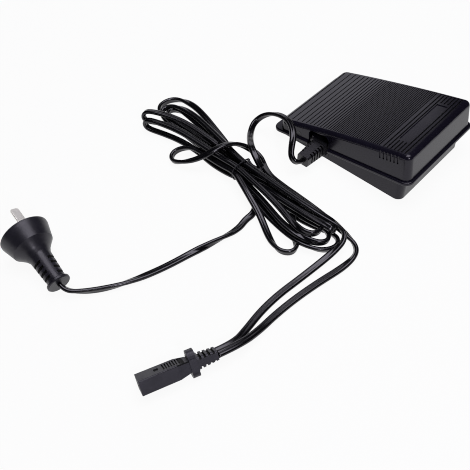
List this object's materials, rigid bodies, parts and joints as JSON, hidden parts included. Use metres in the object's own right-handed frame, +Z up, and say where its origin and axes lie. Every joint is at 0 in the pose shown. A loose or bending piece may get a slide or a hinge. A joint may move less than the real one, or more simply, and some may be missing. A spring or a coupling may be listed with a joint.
{
  "type": "sewing machine foot pedal",
  "caption": "Wedge-shaped sewing machine foot pedal with a hinged ribbed treadle, its tied flat cord, a moulded mains plug and a machine connector.",
  "frame": {"origin": "on the floor, under the middle of the pedal's outline", "axes": "+X from the low hinge end to the high end of the treadle, +Y away from the cord side, +Z up"},
  "size_m": [0.2256, 0.34, 0.0468],
  "materials": {
    "cover_plastic": "gloss",
    "base_plastic": "satin",
    "steel": "satin",
    "rubber": "matte",
    "boot_rubber": "matte",
    "cord_sheath": "satin",
    "wire_sheath": "satin",
    "board": "matte",
    "sheet": "matte",
    "terminal_plastic": "satin",
    "black_epoxy": "matte",
    "aluminium": "satin",
    "capacitor_plastic": "gloss",
    "capacitor_sleeve": "gloss",
    "ferrite": "matte",
    "copper": "gloss",
    "resistor_body": "gloss",
    "slider_plastic": "satin",
    "tie_wire": "satin",
    "plug_plastic": "satin",
    "blade_metal": "satin",
    "connector_plastic": "matte",
    "contact_metal": "satin"
  },
  "bodies": {
    "pedal_base": {"base_tray": "base_plastic", "hinge_pins": "steel", "pin_clips": "steel", "return_spring": "steel", "stop_bumpers": "rubber", "rubber_feet": "rubber", "cord_boot": "boot_rubber", "cord_clamp": "base_plastic", "cord_clamp_screws": "steel", "cord_inner_end": "cord_sheath", "lead_wires": "wire_sheath", "circuit_board": "board", "board_screws": "steel", "insulation_sheet": "sheet", "terminal_block": "terminal_plastic", "triac": "black_epoxy", "heat_sink": "aluminium", "suppression_capacitor": "capacitor_plastic", "timing_capacitor": "capacitor_sleeve", "choke_core": "ferrite", "choke_winding": "copper", "resistors": "resistor_body", "slide_potentiometer": "slider_plastic", "pot_wires": "wire_sheath", "pedal_cord": "cord_sheath", "pedal_cord_hank": "cord_sheath", "pedal_cord_tail": "cord_sheath", "mains_cord": "cord_sheath", "mains_cord_hank": "cord_sheath", "mains_cord_tail": "cord_sheath", "cord_tie": "tie_wire", "plug_body": "plug_plastic", "plug_face": "plug_plastic", "plug_blades": "blade_metal", "connector_body": "connector_plastic", "connector_contacts": "contact_metal"},
    "treadle": {"treadle_cover": "cover_plastic"},
    "slider_wiper": {"wiper": "slider_plastic"}
  },
  "joints": [
    {"name": "treadle_hinge", "type": "hinge", "parent": "pedal_base", "child": "treadle", "pos_m": [-0.0398, 0, 0.0122], "axis": [0, 1, 0], "range_deg": [0, 7], "stiffness_Nm_per_rad": 6, "springref_deg": -2.86, "deforming": ["return_spring"]},
    {"name": "wiper_slide", "type": "slide", "parent": "pedal_base", "child": "slider_wiper", "axis": [0, 0, -1], "range_m": [0, 0.0075]}
  ],
  "couplings": [
    {"joint": "wiper_slide", "follows": "treadle_hinge", "m_per_rad": 0.06}
  ]
}
